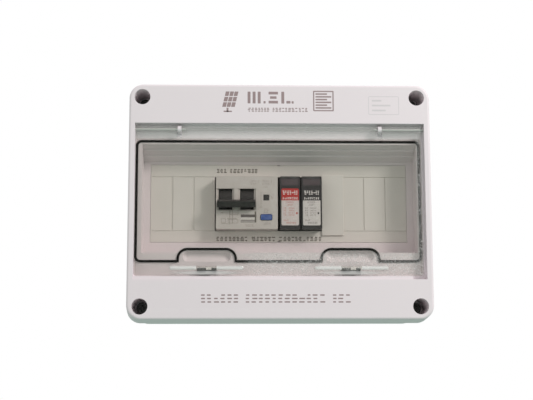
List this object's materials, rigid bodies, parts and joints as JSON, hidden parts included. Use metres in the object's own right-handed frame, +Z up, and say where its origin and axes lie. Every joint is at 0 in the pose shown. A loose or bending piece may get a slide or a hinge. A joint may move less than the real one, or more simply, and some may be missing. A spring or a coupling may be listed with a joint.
{
  "type": "wall distribution box",
  "caption": "Wall-mounted distribution box with a smoked hinged window, a residual-current breaker and a plug-in surge arrester on a rail.",
  "frame": {"origin": "centre of the flat back face, where the box meets the wall", "axes": "+X to the right seen from the front, -Y out of the front, +Z up"},
  "size_m": [0.254, 0.11, 0.197],
  "materials": {
    "cover_plastic": "light grey moulded thermoplastic with a fine spark texture",
    "base_plastic": "light grey moulded thermoplastic",
    "smoked_window": "smoked clear polycarbonate, polished",
    "black_rubber": "matt black foamed rubber cord",
    "zinc_steel": "zinc plated steel",
    "rail_steel": "galvanised strip steel",
    "panel_plastic": "light grey moulded thermoplastic",
    "green_plastic": "green terminal plastic",
    "brass": "plain brass",
    "copper": "bare and enamelled copper",
    "brown_insulation": "brown wire insulation",
    "blue_insulation": "blue wire insulation",
    "green_yellow_insulation": "green wire insulation with a yellow stripe",
    "breaker_plastic": "pale grey thermoset",
    "lever_plastic": "dark grey satin plastic",
    "clear_plastic": "clear polycarbonate",
    "blue_plastic": "blue satin plastic",
    "black_plastic": "near-black polyamide",
    "board_green": "solder-masked circuit board",
    "red_label": "printed film label, red head over a white table",
    "white_label": "printed film label, black head over a white table",
    "status_plastic": "tinted status window",
    "blue_epoxy": "epoxy-dipped varistor disc",
    "white_ceramic": "ceramic tube with nickel end caps"
  },
  "bodies": {
    "root": {"rear_box": "base_plastic", "front_cover": "cover_plastic", "cover_gasket": "black_rubber", "cover_screws": "zinc_steel", "door_seal": "black_rubber", "hinge_pins": "zinc_steel", "module_panel": "panel_plastic", "filler_plate": "panel_plastic", "mounting_rail": "rail_steel", "rail_screws": "zinc_steel", "earth_bar_holder": "green_plastic", "earth_bar": "brass", "earth_bar_screws": "zinc_steel", "line_wire": "brown_insulation", "neutral_wire": "blue_insulation", "earth_wire": "green_yellow_insulation", "breaker_base": "breaker_plastic", "breaker_front": "breaker_plastic", "breaker_rivets": "zinc_steel", "lever_pin": "zinc_steel", "marker_window": "clear_plastic", "test_spring": "zinc_steel", "fault_indicator": "lever_plastic", "breaker_clamps": "brass", "breaker_screws": "zinc_steel", "trip_coils": "copper", "arc_chutes": "rail_steel", "contact_arms": "copper", "sensing_ring": "copper", "trip_board": "board_green", "arrester_base": "black_plastic", "arrester_contacts": "brass", "arrester_clamps": "brass", "arrester_screws": "zinc_steel"},
    "door": {"window_door": "smoked_window", "door_catches": "black_plastic"},
    "levers": {"left_lever": "lever_plastic", "right_lever": "lever_plastic", "lever_tie_bar": "lever_plastic"},
    "test_button": {"test_button": "blue_plastic"},
    "line_plug": {"line_cartridge": "black_plastic", "line_label": "red_label", "line_status_window": "status_plastic", "line_varistor": "blue_epoxy", "line_blades": "brass"},
    "neutral_plug": {"neutral_cartridge": "black_plastic", "neutral_label": "white_label", "neutral_status_window": "status_plastic", "neutral_gas_tube": "white_ceramic", "neutral_blades": "brass"},
    "breaker_clip": {"breaker_rail_clip": "black_plastic"},
    "arrester_clip": {"arrester_rail_clip": "black_plastic"}
  },
  "joints": [
    {"name": "door_hinge", "type": "hinge", "parent": "root", "child": "door", "pos_m": [0, -0.1055, 0.06], "axis": [-1, 0, 0], "range_deg": [0, 100]},
    {"name": "lever_throw", "type": "hinge", "parent": "root", "child": "levers", "pos_m": [-0.036, -0.081, 0.005], "axis": [-1, 0, 0], "range_deg": [0, 38]},
    {"name": "test_press", "type": "slide", "parent": "root", "child": "test_button", "axis": [0, 1, 0], "range_m": [0, 0.0015], "stiffness_N_per_m": 300, "springref_m": -0.001, "deforming": ["test_spring"]},
    {"name": "line_plug_pull", "type": "slide", "parent": "root", "child": "line_plug", "axis": [0, -1, 0], "range_m": [0, 0.012]},
    {"name": "neutral_plug_pull", "type": "slide", "parent": "root", "child": "neutral_plug", "axis": [0, -1, 0], "range_m": [0, 0.012]},
    {"name": "breaker_clip_pull", "type": "slide", "parent": "root", "child": "breaker_clip", "axis": [0, 0, -1], "range_m": [0, 0.003], "stiffness_N_per_m": 300, "springref_m": -0.001},
    {"name": "arrester_clip_pull", "type": "slide", "parent": "root", "child": "arrester_clip", "axis": [0, 0, -1], "range_m": [0, 0.003], "stiffness_N_per_m": 300, "springref_m": -0.001}
  ]
}
